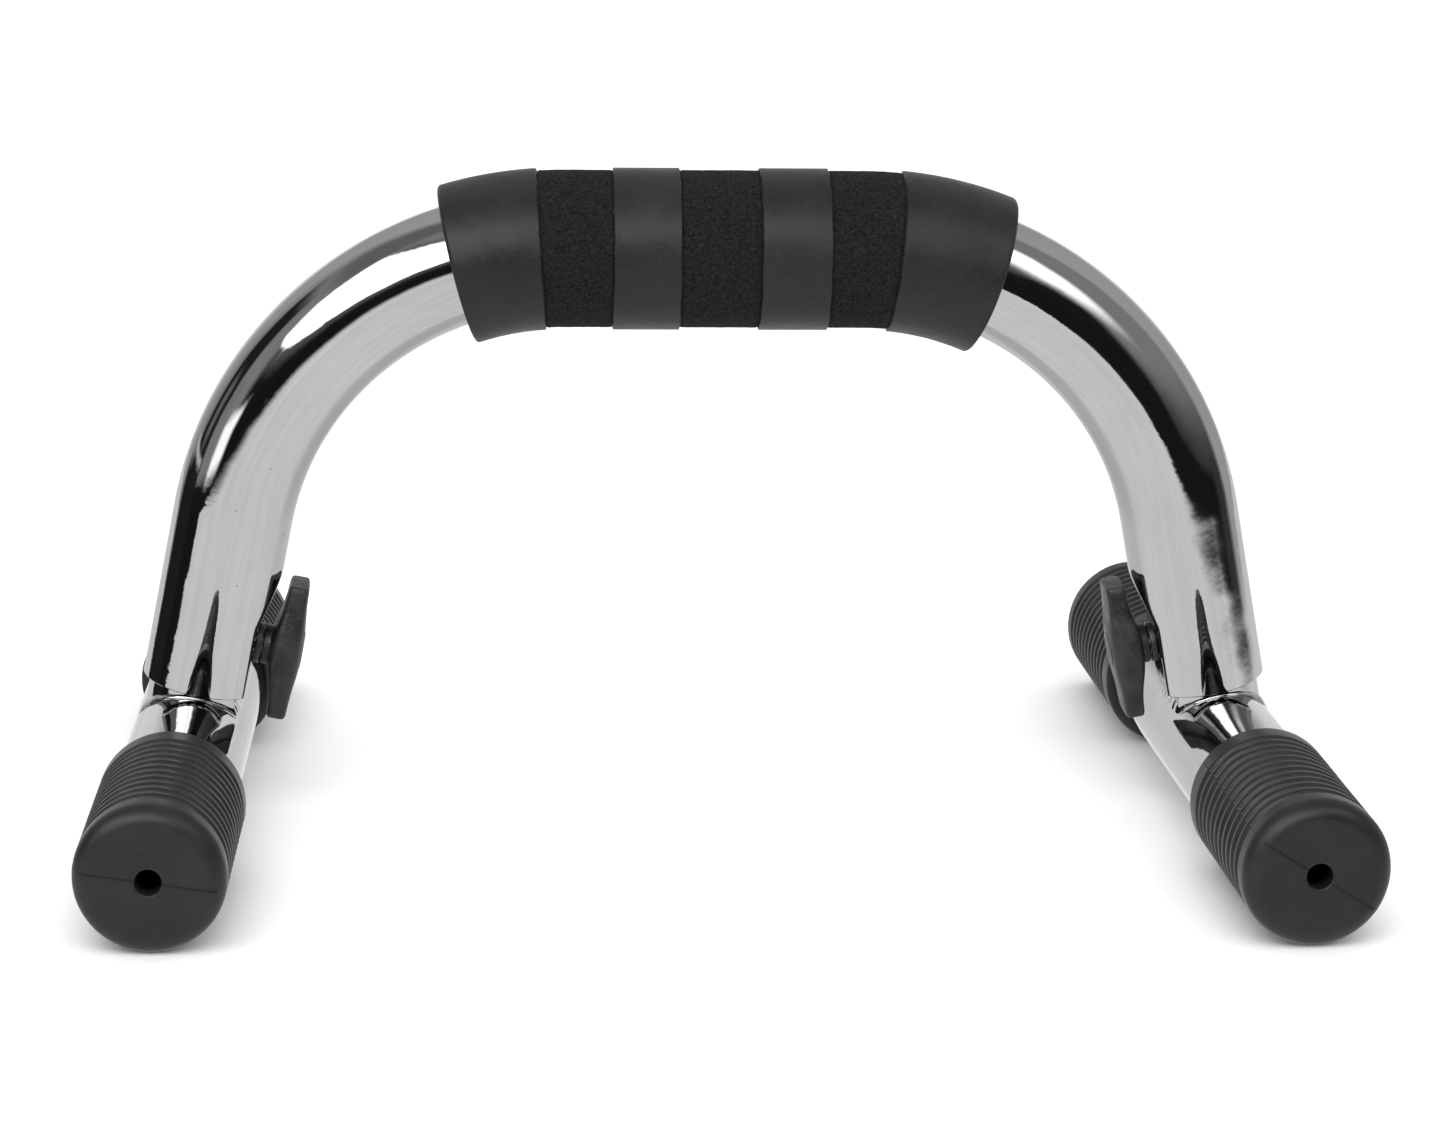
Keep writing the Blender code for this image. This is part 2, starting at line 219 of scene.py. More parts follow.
class Shader:
    """A material or world tree, with short ways to add nodes."""

    def __init__(self, tree):
        self.tree = tree

    def add(self, kind, settings=None, **inputs):
        node = self.tree.nodes.new(kind)
        for key, value in (settings or {}).items():
            setattr(node, key, value)
        for key, value in inputs.items():
            self.set(node.inputs[key.replace("_", " ")], value)
        return node

    def set(self, socket, value):
        if isinstance(value, bpy.types.NodeSocket):
            self.tree.links.new(value, socket)
        else:
            socket.default_value = value

    def math(self, operation, a, b=None, clamp=False):
        node = self.tree.nodes.new("ShaderNodeMath")
        node.operation, node.use_clamp = operation, clamp
        self.set(node.inputs[0], a)
        if b is not None:
            self.set(node.inputs[1], b)
        return node.outputs[0]

    def step(self, value, a, b, low=0.0, high=1.0):
        """Smoothly from low, where value is a, to high, where it is b."""
        node = self.tree.nodes.new("ShaderNodeMapRange")
        node.interpolation_type = "SMOOTHSTEP"
        for key, v in (("Value", value), ("From Min", a), ("From Max", b), ("To Min", low), ("To Max", high)):
            self.set(node.inputs[key], v)
        return node.outputs["Result"]

    def noise(self, vector, scale, detail=2.0, roughness=0.5, distortion=0.0):
        node = self.add("ShaderNodeTexNoise", None, Vector=vector, Scale=scale, Detail=detail, Roughness=roughness, Distortion=distortion)
        return node.outputs["Fac"]

    def scaled(self, vector, scale, rotation=(0, 0, 0)):
        node = self.tree.nodes.new("ShaderNodeMapping")
        node.inputs["Scale"].default_value = scale
        node.inputs["Rotation"].default_value = rotation
        self.set(node.inputs["Vector"], vector)
        return node.outputs["Vector"]

    def grey(self, value, tint=(1.0, 1.0, 1.0)):
        node = self.tree.nodes.new("ShaderNodeCombineColor")
        for k, t in enumerate(tint):
            self.set(node.inputs[k], value if t == 1.0 else self.math("MULTIPLY", value, t))
        return node.outputs["Color"]

    def bump(self, height, distance, strength=1.0, normal=None):
        node = self.tree.nodes.new("ShaderNodeBump")
        node.inputs["Strength"].default_value = strength
        node.inputs["Distance"].default_value = distance
        self.set(node.inputs["Height"], height)
        if normal is not None:
            self.set(node.inputs["Normal"], normal)
        return node.outputs["Normal"]


def material(name, metallic=0.0, **sockets):
    mat = bpy.data.materials.new(name)
    mat.use_nodes = True
    shader = Shader(mat.node_tree)
    surface = mat.node_tree.nodes["Principled BSDF"]
    surface.inputs["Metallic"].default_value = metallic
    for key, value in sockets.items():
        surface.inputs[key.replace("_", " ")].default_value = value
    where = shader.add("ShaderNodeTexCoord").outputs["Object"]
    return mat, shader, surface, where


def make_chrome():
    """Chrome plate on drawn tube: shallow waves, marks along the tube, a few pits and light smudges."""
    mat, s, surface, where = material("chrome_plate", metallic=1.0)
    tube = s.add("ShaderNodeAttribute", {"attribute_name": "layout_and_line_shade"}).outputs["Vector"]  # along the tube, and round it
    smudge = s.noise(where, 55.0, 4.0, 0.6)
    drawn = s.noise(s.scaled(tube, (30.0, 1500.0, 1500.0)), 1.0, 3.0, 0.65)
    marks = s.noise(s.scaled(tube, (140.0, 2600.0, 2600.0)), 1.0, 2.0, 0.7)
    scratch = s.step(marks, 0.70, 0.78)
    pits = s.add("ShaderNodeTexVoronoi", {"feature": "F1"}, Vector=where, Scale=170.0, Randomness=1.0)
    pit = s.step(pits.outputs["Distance"], 0.060, 0.020)
    pit = s.math("MULTIPLY", pit, s.step(s.noise(where, 35.0, 1.0), 0.58, 0.62))
    rough = s.math("ADD", s.step(smudge, 0.45, 0.75, 0.030, 0.075), s.math("MULTIPLY", scratch, 0.08))
    s.set(surface.inputs["Roughness"], s.math("ADD", rough, s.math("MULTIPLY", pit, 0.35)))
    tone = s.math("ADD", s.step(smudge, 0.3, 0.8, 0.515, 0.485), s.step(drawn, 0.35, 0.75, 0.006, -0.012))
    s.set(surface.inputs["Base Color"], s.grey(s.math("SUBTRACT", tone, s.math("MULTIPLY", pit, 0.35))))
    surface.inputs["Specular Tint"].default_value = (0.78, 0.78, 0.78, 1.0)
    wave = s.noise(where, 85.0, 1.0, 0.4)
    ripple = s.noise(where, 260.0, 2.0, 0.5)
    normal = s.bump(wave, 0.00009)
    normal = s.bump(ripple, 0.000012, 1.0, normal)
    blemish = s.math("MULTIPLY", s.noise(where, 520.0, 3.0, 0.55), s.step(s.noise(where, 48.0, 2.0), 0.52, 0.66))
    normal = s.bump(blemish, 0.000022, 1.0, normal)
    normal = s.bump(drawn, 0.0000009, 1.0, normal)
    normal = s.bump(s.math("MULTIPLY", scratch, -1.0), 0.000004, 1.0, normal)
    s.set(surface.inputs["Normal"], normal)
    return mat


def make_bore_painted_shade():
    """The dull, unplated bores of the tubes, their metal colour kept near black as painted shade inside the hollow."""
    mat, s, surface, where = material("bore_painted_shade", metallic=1.0)
    scale = s.noise(where, 700.0, 4.0, 0.6)
    # Painted shade: a near-black metal colour stands in for the shade down the bore; the dull roughness is the real
    # unplated steel
    s.set(surface.inputs["Base Color"], s.grey(s.step(scale, 0.3, 0.7, 0.035, 0.075)))
    s.set(surface.inputs["Roughness"], s.step(scale, 0.3, 0.7, 0.6, 0.45))
    s.set(surface.inputs["Normal"], s.bump(scale, 0.00003))
    return mat


def make_foam_skin():
    mat, s, surface, where = material("foam_skin", Specular_IOR_Level=0.30, Sheen_Weight=0.03, Sheen_Roughness=0.4)
    mottle = s.noise(where, 60.0, 4.0, 0.55)
    fine = s.noise(where, 2400.0, 3.0, 0.6)
    s.set(surface.inputs["Base Color"], s.grey(s.math("ADD", s.step(mottle, 0.25, 0.75, 0.009, 0.017), s.step(fine, 0.3, 0.8, -0.003, 0.004))))
    s.set(surface.inputs["Roughness"], s.step(mottle, 0.3, 0.7, 0.40, 0.52))
    dent = s.noise(where, 120.0, 2.0, 0.5)
    normal = s.bump(dent, 0.00035)
    normal = s.bump(fine, 0.00004, 1.0, normal)
    s.set(surface.inputs["Normal"], normal)
    return mat


def make_foam_ground():
    mat, s, surface, where = material("foam_ground", Specular_IOR_Level=0.15)
    cells = s.add("ShaderNodeTexVoronoi", {"feature": "F1"}, Vector=where, Scale=2300.0, Randomness=1.0)
    coarse = s.noise(where, 1700.0, 5.0, 0.75)
    fine = s.noise(where, 4600.0, 3.0, 0.7)
    lump = s.noise(where, 260.0, 3.0, 0.6)
    dust = s.step(s.noise(where, 4200.0, 1.0, 0.5), 0.74, 0.80)
    dust = s.math("MULTIPLY", dust, s.step(lump, 0.45, 0.6))
    value = s.math("ADD", s.step(coarse, 0.30, 0.72, 0.002, 0.020), s.math("MULTIPLY", dust, 0.05))
    s.set(surface.inputs["Base Color"], s.grey(value))
    s.set(surface.inputs["Roughness"], s.step(coarse, 0.3, 0.7, 0.95, 0.78))
    height = s.math("ADD", s.math("MULTIPLY", cells.outputs["Distance"], 0.5), s.math("ADD", coarse, s.math("MULTIPLY", fine, 0.5)))
    normal = s.bump(height, 0.00022)
    s.set(surface.inputs["Normal"], normal)
    return mat


def make_rubber():
    mat, s, surface, where = material("moulded_rubber", Specular_IOR_Level=0.35)
    mottle = s.noise(where, 90.0, 4.0, 0.6)
    fine = s.noise(where, 2600.0, 3.0, 0.6)
    bloom = s.noise(where, 420.0, 4.0, 0.65)
    value = s.math("ADD", s.step(mottle, 0.25, 0.75, 0.009, 0.015), s.step(bloom, 0.55, 0.8, 0.0, 0.006))
    # Painted shade: along the parting line the colour is darkened by up to 55%, standing in for the shade in its groove
    parting_line_shade = s.add("ShaderNodeSeparateXYZ", None, Vector=s.add("ShaderNodeAttribute", {"attribute_name": "layout_and_line_shade"}).outputs["Vector"])
    parting_line_shade = s.math("MINIMUM", 1.0, s.math("MULTIPLY", parting_line_shade.outputs["X"], s.step(fine, 0.2, 0.6, 0.8, 1.1)))  # the mould's parting line, its colour darkened as painted shade of its groove
    s.set(surface.inputs["Base Color"], s.grey(s.math("MULTIPLY", value, s.math("SUBTRACT", 1.0, s.math("MULTIPLY", parting_line_shade, 0.55)))))
    s.set(surface.inputs["Roughness"], s.math("ADD", s.step(mottle, 0.3, 0.7, 0.36, 0.46), s.math("MULTIPLY", parting_line_shade, 0.4)))
    normal = s.bump(bloom, 0.00003)
    normal = s.bump(fine, 0.00002, 1.0, normal)
    s.set(surface.inputs["Normal"], normal)
    return mat


def make_knob_plastic():
    mat, s, surface, where = material("grained_plastic", Specular_IOR_Level=0.5)
    grain = s.noise(where, 2200.0, 2.0, 0.55)
    wear = s.noise(where, 240.0, 4.0, 0.65)
    value = s.math("ADD", s.step(wear, 0.3, 0.75, 0.005, 0.022), s.step(grain, 0.35, 0.75, -0.002, 0.005))
    s.set(surface.inputs["Base Color"], s.grey(value))
    s.set(surface.inputs["Roughness"], s.step(wear, 0.3, 0.7, 0.34, 0.56))
    normal = s.bump(wear, 0.00022)
    normal = s.bump(grain, 0.00009, 1.0, normal)
    s.set(surface.inputs["Normal"], normal)
    return mat


def make_nylon():
    mat, s, surface, where = material("black_nylon", Specular_IOR_Level=0.5)
    cloud = s.noise(where, 700.0, 3.0, 0.6)
    s.set(surface.inputs["Base Color"], s.grey(s.step(cloud, 0.3, 0.7, 0.014, 0.024)))
    s.set(surface.inputs["Roughness"], s.step(cloud, 0.3, 0.7, 0.34, 0.46))
    s.set(surface.inputs["Normal"], s.bump(cloud, 0.00003))
    return mat


def make_zinc():
    mat, s, surface, where = material("zinc_plate", metallic=1.0)
    crystal = s.add("ShaderNodeTexVoronoi", {"feature": "F1"}, Vector=where, Scale=1400.0, Randomness=1.0)
    cloud = s.noise(where, 900.0, 4.0, 0.6)
    s.set(surface.inputs["Base Color"], s.grey(s.step(cloud, 0.3, 0.7, 0.50, 0.62)))
    s.set(surface.inputs["Roughness"], s.step(crystal.outputs["Distance"], 0.1, 0.7, 0.26, 0.42))
    s.set(surface.inputs["Normal"], s.bump(cloud, 0.00003))
    return mat


chrome, bore_painted_shade = make_chrome(), make_bore_painted_shade()
foam_skin, foam_ground = make_foam_skin(), make_foam_ground()
rubber, plastic, nylon, zinc = make_rubber(), make_knob_plastic(), make_nylon(), make_zinc()


# The bent handle tube


def flat_at(t):
    """Distance from the leg's axis to its pressed flat, where the tube is pressed."""
    up = HALF_ARC - abs(t)
    if up > FLAT_RUN_OUT + 3:
        return TUBE_R + 3
    ramp = (up - FLAT_TOP) / (FLAT_RUN_OUT - FLAT_TOP)
    return FLAT_D + (TUBE_R - FLAT_D) * max(0.0, ramp * smooth(ramp, -0.05, 0.25))


def pressed_ring(t, radius, inset, count):
    """One ring of the handle tube, its inner side pressed flat near the leg's end."""
    centre, normal = centre_line(t)
    flat = flat_at(t) - inset
    out = []
    for k in range(count):
        a = 2 * math.pi * k / count
        n, y = radius * math.cos(a), radius * math.sin(a)
        n = -soft_min(-n, flat, 0.7) if flat < radius + 2 else n
        out.append(centre + normal * n + Vector((SHIFT, y, 0)))
    return out


def make_handle():
    count = 144
    build = Build()
    rim = 0.22
    steps = list(np.linspace(-HALF_ARC + rim, HALF_ARC - rim, 341))
    outer = [build.ring(pressed_ring(t, TUBE_R, 0.0, count), t) for t in steps]
    first = build.ring(pressed_ring(-HALF_ARC, TUBE_R - rim, rim, count), -HALF_ARC)
    last = build.ring(pressed_ring(HALF_ARC, TUBE_R - rim, rim, count), HALF_ARC)
    r = TUBE_R - TUBE_WALL
    coarse = [-HALF_ARC + rim] + list(np.linspace(-HALF_ARC + 2, HALF_ARC - 2, 141)) + [HALF_ARC - rim]
    inner = [build.ring(pressed_ring(t, r, TUBE_WALL, count), t) for t in coarse]
    first_in = build.ring(pressed_ring(-HALF_ARC, r + rim, TUBE_WALL - rim, count), -HALF_ARC)
    last_in = build.ring(pressed_ring(HALF_ARC, r + rim, TUBE_WALL - rim, count), HALF_ARC)
    build.skin([first_in, first] + outer + [last, last_in])
    build.skin([last_in] + inner[::-1] + [first_in], mat=1)
    obj = piece("chrome_handle", build, None, "handle", [chrome, bore_painted_shade], ["handle_tube"])
    for side in (-1, 1):
        up = Vector((-side * math.sin(SPLAY), 0, math.cos(SPLAY)))
        inward = Vector((-side * math.cos(SPLAY), 0, -math.sin(SPLAY)))
        place = Vector((side * LEG_END.x + SHIFT, 0, LEG_END.z)) + up * SCREW_UP
        drill(obj, Matrix.Translation(place) @ Matrix((inward, up.cross(inward), up)).transposed().to_4x4(), 3.5, 6.0, 18.0)
    return obj


# The foam sleeve


def make_grip():
    count = 224
    edges = [e for band in GRIP_BANDS for e in band]
    stations = []
    t = GRIP_FROM
    while t < GRIP_TO:
        stations.append(t)
        near = min(abs(t - e) for e in edges)
        in_band = any(a < t < b for a, b in GRIP_BANDS)
        near_end = min(t - GRIP_FROM, GRIP_TO - t)
        if near < 0.9:
            t += 0.13
        elif near_end < 2.2:
            t += 0.2
        else:
            t += 0.4 if in_band else 0.7
    stations.append(GRIP_TO)

    def wobble(e, a):
        ring_point = Vector((math.cos(a) * 9, math.sin(a) * 9, e * 3.7))
        fine = Vector((math.cos(a) * 46, math.sin(a) * 46, e * 5.1))
        return 0.16 * noise.noise(ring_point * 0.35) + 0.13 * noise.noise(fine)

    wobbles = {e: [wobble(e, 2 * math.pi * k / count) for k in range(count)] for e in edges}
    build = Build()
    rings, kinds = [], []
    for t in stations:
        centre_t = t
        row = []
        banded = 0
        nearest = min(edges, key=lambda e: abs(t - e))
        for k in range(count):
            a = 2 * math.pi * k / count
            # The end faces lean: the sleeve reaches further along on the inner side of the bend
            lean = (1 + math.cos(a)) * (1.1 * (1 - smooth(t, GRIP_FROM, GRIP_FROM + 10)) - 1.37 * smooth(t, GRIP_TO - 10, GRIP_TO))
            shift = wobbles[nearest][k] * (1 - smooth(abs(t - nearest), 0.3, 1.6))
            tt = centre_t + lean + shift
            rel = t
            depth = 0.0
            for a0, b0 in GRIP_BANDS:
                inside = smooth(rel, a0 - 0.10, a0 + 0.14) * (1 - smooth(rel, b0 - 0.14, b0 + 0.10))
                if inside > 0:
                    depth = inside
                    break
            r = GRIP_R + (GRIP_BAND_R - GRIP_R) * depth
            # A dark cut line at both edges of each band
            gap = abs(rel - nearest)
            sign = 1 if any(a0 < rel < b0 for a0, b0 in GRIP_BANDS) else -1
            r -= 0.26 * math.exp(-(((sign * gap) - 0.22) / 0.20) ** 2) * (0.75 + 0.5 * noise.noise(Vector((k * 0.21, nearest, 2.0))))
            # The skin is a little raised next to each cut
            if sign < 0:
                r += 0.07 * math.exp(-((gap - 0.5) / 0.45) ** 2)
            spot = Vector((t, 17 * math.cos(a), 17 * math.sin(a)))
            r += 0.05 * noise.noise(spot * 0.09) + 0.03 * noise.noise(spot * 0.31)
            if depth > 0.9:
                r += 0.055 * noise.noise(spot * 1.35) + 0.045 * noise.noise(spot * 2.4)
            # Rounded outer edge at the ends
            d = min(t - GRIP_FROM, GRIP_TO - t)
            if d < 1.0:
                r -= 1.0 - math.sqrt(max(0.0, 1.0 ** 2 - (1.0 - d) ** 2))
            r = min(r, GRIP_R - 0.01)
            centre, normal = centre_line(tt)
            row.append(centre + normal * (r * math.cos(a)) + Vector((SHIFT, r * math.sin(a), 0)))
        rings.append(build.ring(row))
        kinds.append(1 if any(a0 + 0.02 < t < b0 - 0.02 for a0, b0 in GRIP_BANDS) else 0)
    for k in range(len(rings) - 1):
        build.skin([rings[k], rings[k + 1]], mat=1 if kinds[k] and kinds[k + 1] else 0)

    def end_ring(t, r, push):
        row = []
        for k in range(count):
            a = 2 * math.pi * k / count
            lean = (1 + math.cos(a)) * (1.1 if t < 0 else -1.37)
            centre, normal = centre_line(t + lean + push)
            row.append(centre + normal * (r * math.cos(a)) + Vector((SHIFT, r * math.sin(a), 0)))
        return build.ring(row)

    for t, last, way in ((GRIP_FROM, rings[0], 1), (GRIP_TO, rings[-1], -1)):
        face = [last]
        for r, push in ((15.4, 0.0), (14.3, 0.02), (13.6, 0.03), (13.05, 0.12), (12.82, 0.35), (12.74, 0.9), (12.74, 4.0)):
            face.append(end_ring(t, r, way * push))
        build.skin(face)
    obj = piece("foam_sleeve", build, None, "handle", [foam_skin, foam_ground], ["foam_grip"], sharp=50.0)
    return obj


# Base tubes and feet


def make_base_tube(side, word):
    count = 128
    half = BASE_HALF - FOOT_END_WALL - 0.3
    build = Build()

    def row(r, y):
        return build.ring([Vector((r * math.sin(2 * math.pi * k / count), y, r * math.cos(2 * math.pi * k / count))) for k in range(count)], y)

    rim = 0.25
    r, b = TUBE_R, TUBE_R - TUBE_WALL
    rings = [row(b + rim, -half), row(r - rim, -half)]
    rings += [row(r, y) for y in np.linspace(-half + rim, half - rim, 90)]
    rings += [row(r - rim, half), row(b + rim, half)]
    rings += [row(b, y) for y in np.linspace(half - rim, -half + rim, 30)]
    build.skin(rings[:94])
    build.skin(rings[93:] + [rings[0]], mat=1)
    return piece("chrome_base_" + word, build, base_matrix(side), "base_" + word, [chrome, bore_painted_shade], ["base_tube_" + word])


def foot_outline():
    """(radius, distance from the base's middle, how far the mould line stands out), mouth bore to vent bore."""
    mouth = BASE_HALF - FOOT_LENGTH
    floor = BASE_HALF - FOOT_END_WALL
    points = [(TUBE_R + 0.04, mouth + 6.0, 0.0), (TUBE_R + 0.04, mouth + 0.55, 0.0), (TUBE_R + 0.22, mouth + 0.16, 0.0), (TUBE_R + 0.6, mouth, 0.0)]
    for k in range(7):
        a = math.pi / 2 * k / 6
        points.append((FOOT_R - 0.8 + 0.8 * math.sin(a), mouth + 0.8 - 0.8 * math.cos(a), 0.0))
    ribs_from, ribs_to = mouth + FOOT_COLLAR, BASE_HALF - FOOT_NOSE
    pitch = (ribs_to - ribs_from) / FOOT_GROOVES
    points += [(FOOT_R, y, 0.10) for y in np.linspace(mouth + 1.4, ribs_from, 6)[:-1]]
    steps = 16
    for k in range(FOOT_GROOVES * steps):
        u = (k % steps) / steps
        groove = (0.5 - 0.5 * math.cos(2 * math.pi * u)) ** 2.1
        points.append((FOOT_R - 1.2 * groove, ribs_from + pitch * k / steps, 0.13))
    points += [(FOOT_R, y, 0.09) for y in np.linspace(ribs_to, BASE_HALF - FOOT_FILLET, 5)[:-1]]
    for k in range(15):
        a = math.pi / 2 * k / 14
        points.append((FOOT_R - FOOT_FILLET * (1 - math.cos(a)), BASE_HALF - FOOT_FILLET * (1 - math.sin(a)), 0.06 - 0.10 * k / 14))
    edge = FOOT_R - FOOT_FILLET
    points += [(r, BASE_HALF - 0.10 * (1 - (r / edge) ** 2), -0.05) for r in np.linspace(edge, FOOT_VENT_R + 0.5, 14)[1:]]
    for k in range(1, 6):
        a = math.pi / 2 * k / 5
        points.append((FOOT_VENT_R + 0.45 * (1 - math.sin(a)), BASE_HALF - 0.1 - 0.45 * (1 - math.cos(a)), 0.0))
    points += [(FOOT_VENT_R, floor + 1.0, 0.0), (FOOT_VENT_R, floor, 0.0), (FOOT_VENT_R + 1.2, floor - 0.1, 0.0), (TUBE_R - 0.4, floor - 0.1, 0.0)]
    return points


def make_foot(side, word, end, way, parting):
    """parting is the angle of the mould's parting plane about the foot's axis, in degrees."""
    profile = foot_outline()
    offsets = [0.0, 0.09, 0.18, 0.29, 0.45, 0.75]
    plain = 78
    build = Build()
    rings = []
    for r, y, stand in profile:
        angles = []
        for half in (0, 1):
            near = [math.asin(min(0.92, d / r)) for d in offsets]
            span = math.pi - 2 * near[-1]
            line = near + [near[-1] + span * (k + 1) / (plain + 1) for k in range(plain)] + [math.pi - v for v in near[::-1][:-1]]
            angles += [half * math.pi + v for v in line]
        row = []
        for k, a in enumerate(angles):
            d = r * abs(math.sin(a))
            lift = stand * math.exp(-((d / 0.17) ** 2))
            turn = a + math.radians(parting)
            on_face = y > BASE_HALF - FOOT_FILLET * 0.6 and r < FOOT_R - 1.5
            rr = r if on_face else r + lift
            yy = y + lift if on_face else y
            x, z = rr * math.cos(turn), rr * math.sin(turn)
            # How strongly the rubber's colour is darkened here, as painted shade along the parting line on the face
            build.tube.append((1000.0 * math.exp(-((d / 0.28) ** 2)) if on_face and r > FOOT_VENT_R + 0.2 else 0.0, 0.0, 0.0))
            soft = 0.03 * noise.noise(Vector((x * 0.25, yy * 0.25, z * 0.25 + 7 * side + 3 * way)))
            x *= (1 + soft / FOOT_R) * 0.985
            z *= 1 + soft / FOOT_R
            row.append(Vector((x, way * min(yy, BASE_HALF - 0.03), max(z, -FLOOR_Z + 0.004))))
        rings.append(build.ring(row))
    build.skin(rings)
    name = "foot_%s_%s" % (end, word)
    return piece("rubber_" + name, build, base_matrix(side), "base_" + word, [rubber], [name], sharp=60.0)


# Posts, with the weld that joins each to its base tube


def make_post(side, word):
    count = 144
    to_base = base_matrix(side).inverted() @ joint_matrix(side)
    from_base = to_base.inverted()

    def meets(x, y, radius):
        """Height at which the line up the post through (x, y) comes out of the base tube."""
        start, way = to_base @ Vector((x, y, 0)), (to_base.to_3x3() @ Vector((0, 0, 1)))
        a = way.x ** 2 + way.z ** 2
        b = start.x * way.x + start.z * way.z
        c = start.x ** 2 + start.z ** 2 - radius ** 2
        return (-b + math.sqrt(max(0.0, b * b - a * c))) / a

    def outline(r, flat):
        out = []
        for k in range(count):
            a = 2 * math.pi * k / count
            out.append((soft_min(r * math.cos(a), flat, 0.5), r * math.sin(a)))
        return out

    build = Build()
    wall = POST_R - POST_BORE_R
    skin_xy, bore_xy = outline(POST_R, POST_FLAT_D), outline(POST_BORE_R, POST_FLAT_D - wall)
    foot_z = [meets(x, y, TUBE_R) for x, y in skin_xy]
    bead, height = [], []
    for k, (x, y) in enumerate(skin_xy):
        a = 2 * math.pi * k / count
        beside = abs(math.cos(a)) ** 1.5
        ripple = 0.11 * math.sin(a * 22) + 0.22 * noise.noise(Vector((math.cos(a) * 5, math.sin(a) * 5, side * 4)))
        size = 0.42 + 1.15 * beside + ripple * beside
        bead.append(max(0.25, size))
        height.append(max(0.2, size * 0.95))
    # On the base tube round the post, over the bead, and up the post
    rows = []
    for j in range(9):
        u = j / 8
        row = []
        for k, (x, y) in enumerate(skin_xy):
            length = math.hypot(x, y)
            ox, oy = x / length, y / length
            swell = math.sin(math.pi * u) * 0.22 * bead[k]
            out = bead[k] * (1 - u) + swell
            px, py = x + ox * out, y + oy * out
            px = max(-12.05, min(12.05, px))  # the bead stops short of the base tube's steep side
            low = meets(px, py, TUBE_R) if u < 0.999 else foot_z[k]
            point = Vector((px, py, low + height[k] * u + swell * 0.7))
            if u == 0:
                point.z -= 0.06
            row.append(point)
        rows.append(build.ring(row, -6.0 + j * 0.2))
    tops = []
    for j in range(1, 25):
        u = j / 24
        tops.append(build.ring([Vector((x, y, (foot_z[k] + height[k]) * (1 - u) + (POST_UP - 0.4) * u)) for k, (x, y) in enumerate(skin_xy)], POST_UP * u))
    lip = build.ring([Vector((x * (1 - 0.4 / POST_R), y * (1 - 0.4 / POST_R), POST_UP)) for x, y in skin_xy], POST_UP)
    lip_in = build.ring([Vector((x * (1 + 0.3 / POST_R), y * (1 + 0.3 / POST_R), POST_UP)) for x, y in bore_xy], POST_UP)
    inside = []
    for j in range(13):
        u = j / 12
        inside.append(build.ring([Vector((x, y, (POST_UP - 0.3) * (1 - u) + (meets(x, y, TUBE_R) - 0.05) * u)) for x, y in bore_xy], POST_UP * (1 - u)))
    build.skin(rows + tops + [lip, lip_in] + inside + [rows[0]])
    obj = piece("welded_post_" + word, build, joint_matrix(side), "base_" + word, [chrome], ["post_" + word])
    drill(obj, joint_matrix(side) @ Matrix.Translation((0, 0, SCREW_UP)), 3.4, 4.0, 20.0)
    return obj


# The wing screw: knob, threaded screw, washer and weld nut


def screw_matrix(side):
    return joint_matrix(side) @ Matrix.Translation((0, 0, SCREW_UP))


def round_row(build, x, r, count, wave=None):
    return build.ring([Vector((x, (r if wave is None else wave(a)) * math.cos(a), (r if wave is None else wave(a)) * math.sin(a))) for a in (2 * math.pi * k / count for k in range(count))])


def make_knob(side, word):
    build = Build()
    around, count = 64, 96
    rings = []
    for k in range(count + 1):
        s = -math.cos(math.pi * k / count)
        z = s * KNOB_HALF_SPAN
        hub = math.exp(-((abs(z) / 8.0) ** 2.6))
        edge = max(0.0, (abs(z) - (KNOB_HALF_SPAN - 1.5)) / 1.5)
        close = 0.66 + 0.34 * math.sqrt(max(0.0, 1 - min(1.0, edge) ** 2))
        # The wings thin a little and narrow a little towards their tips
        thick = 2.25 - 0.12 * abs(s)
        back = KNOB_BACK * hub + (KNOB_CENTRE - thick) * (1 - hub)
        front = KNOB_FRONT * hub + (KNOB_CENTRE + thick) * (1 - hub)
        half = (5.5 - 0.35 * abs(s)) + 1.5 * hub
        mid, thick = (back + front) / 2, (front - back) / 2
        thick -= (1 - close) * 1.3
        half -= (1 - close) * 1.9
        row = []
        for j in range(around):
            a = 2 * math.pi * (j + 0.5) / around
            c, d = math.cos(a), math.sin(a)
            power = 0.30 * (1 - hub) + 0.55 * hub
            x = mid + thick * math.copysign(abs(c) ** power, c)
            y = half * math.copysign(abs(d) ** power, d)
            row.append(Vector((x, y, z)))
        rings.append(build.ring(row))
    build.skin(rings)
    build.cap(rings[0])
    build.cap(rings[-1])
    # The collar towards the leg, with a rounded mouth and a bore for the screw
    rows = []
    for x, r in ((15.5, 3.1), (11.7, 3.1), (11.45, 3.25), (KNOB_COLLAR, 3.5), (KNOB_COLLAR, KNOB_COLLAR_R - 0.45), (KNOB_COLLAR + 0.13, KNOB_COLLAR_R - 0.13),
                 (KNOB_COLLAR + 0.45, KNOB_COLLAR_R), (KNOB_BACK + 0.2, KNOB_COLLAR_R), (KNOB_BACK + 1.4, KNOB_COLLAR_R + 0.4), (KNOB_CENTRE - 1, KNOB_COLLAR_R + 0.6)):
        rows.append(round_row(build, x, r, 72))
    build.skin(rows)
    # A low round boss on the front of the hub
    rows = []
    for x, r in ((KNOB_FRONT - 1.2, 4.15), (KNOB_FRONT - 0.1, 4.05), (KNOB_FRONT + 0.0, 3.9), (KNOB_FRONT + 0.0, 2.6), (KNOB_FRONT - 0.22, 2.4), (KNOB_FRONT - 0.25, 1.2), (KNOB_FRONT - 0.2, 0.3)):
        rows.append(round_row(build, x, r, 72))
    build.skin(rows)
    build.cap(rows[-1])
    return piece("grained_knob_" + word, build, screw_matrix(side), "knob_" + word, [plastic], ["wing_knob_" + word], sharp=42.0)


